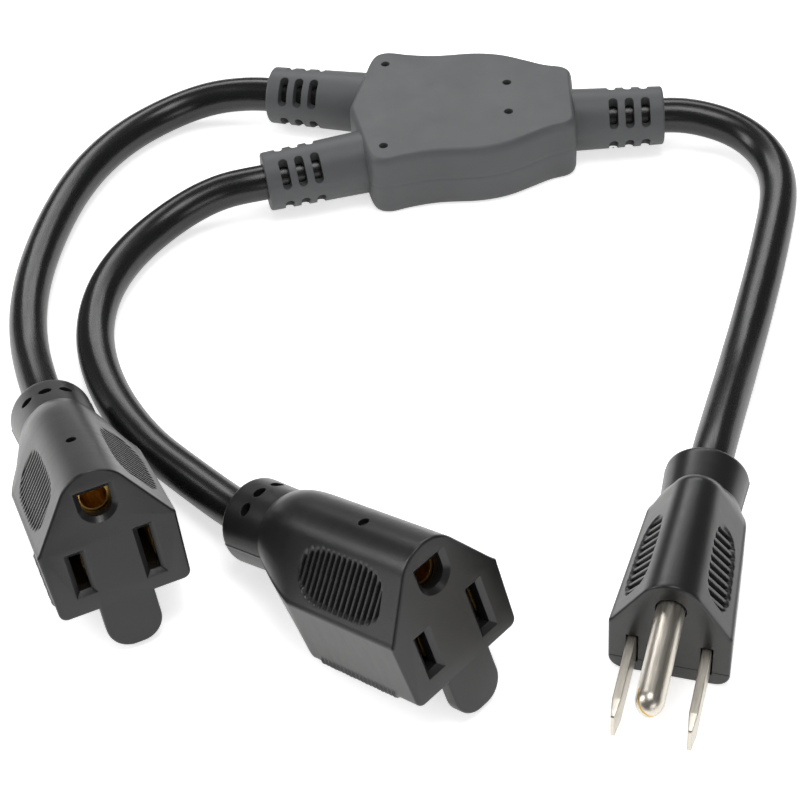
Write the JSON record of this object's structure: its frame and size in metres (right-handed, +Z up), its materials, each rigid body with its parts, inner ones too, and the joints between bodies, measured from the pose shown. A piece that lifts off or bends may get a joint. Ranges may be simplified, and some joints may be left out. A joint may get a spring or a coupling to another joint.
{
  "type": "power cord splitter",
  "caption": "Grounded Y-shaped power cord splitter: a moulded junction block joins a plug on a short cord to outlet connectors on short cords.",
  "frame": {"origin": "bottom centre of the junction block's box, on the surface it lies on", "axes": "+X towards the leg that carries the plug's cord, +Y towards the leg of the left outlet's cord, +Z up"},
  "size_m": [0.1701, 0.1951, 0.0342],
  "materials": {
    "block_vinyl": "satin moulded vinyl",
    "connector_vinyl": "semi-gloss moulded vinyl",
    "cord_jacket": "smooth extruded vinyl",
    "insert_nylon": "plain moulded nylon",
    "brass": "stamped sheet",
    "nickel": "nickel plated",
    "hot_insulation": "black wire insulation",
    "neutral_insulation": "white wire insulation",
    "ground_insulation": "green wire insulation"
  },
  "bodies": {
    "root": {"y_block": "block_vinyl", "splice_tray": "insert_nylon", "hot_splice": "brass", "neutral_splice": "brass", "ground_splice": "brass", "plug_cord_hot_block_core": "hot_insulation", "plug_cord_neutral_block_core": "neutral_insulation", "plug_cord_ground_block_core": "ground_insulation", "left_cord_hot_block_core": "hot_insulation", "left_cord_neutral_block_core": "neutral_insulation", "left_cord_ground_block_core": "ground_insulation", "front_cord_hot_block_core": "hot_insulation", "front_cord_neutral_block_core": "neutral_insulation", "front_cord_ground_block_core": "ground_insulation", "left_outlet_body": "connector_vinyl", "left_outlet_carrier": "insert_nylon", "left_outlet_hot_contact": "brass", "left_outlet_neutral_contact": "brass", "left_outlet_ground_contact": "brass", "left_outlet_hot_core": "hot_insulation", "left_outlet_neutral_core": "neutral_insulation", "left_outlet_ground_core": "ground_insulation", "front_outlet_body": "connector_vinyl", "front_outlet_carrier": "insert_nylon", "front_outlet_hot_contact": "brass", "front_outlet_neutral_contact": "brass", "front_outlet_ground_contact": "brass", "front_outlet_hot_core": "hot_insulation", "front_outlet_neutral_core": "neutral_insulation", "front_outlet_ground_core": "ground_insulation", "plug_body": "connector_vinyl", "plug_bridge": "insert_nylon", "plug_hot_blade": "nickel", "plug_neutral_blade": "nickel", "plug_ground_pin": "nickel", "plug_hot_core": "hot_insulation", "plug_neutral_core": "neutral_insulation", "plug_ground_core": "ground_insulation", "plug_cord": "cord_jacket", "left_cord": "cord_jacket", "front_cord": "cord_jacket"}
  },
  "joints": []
}
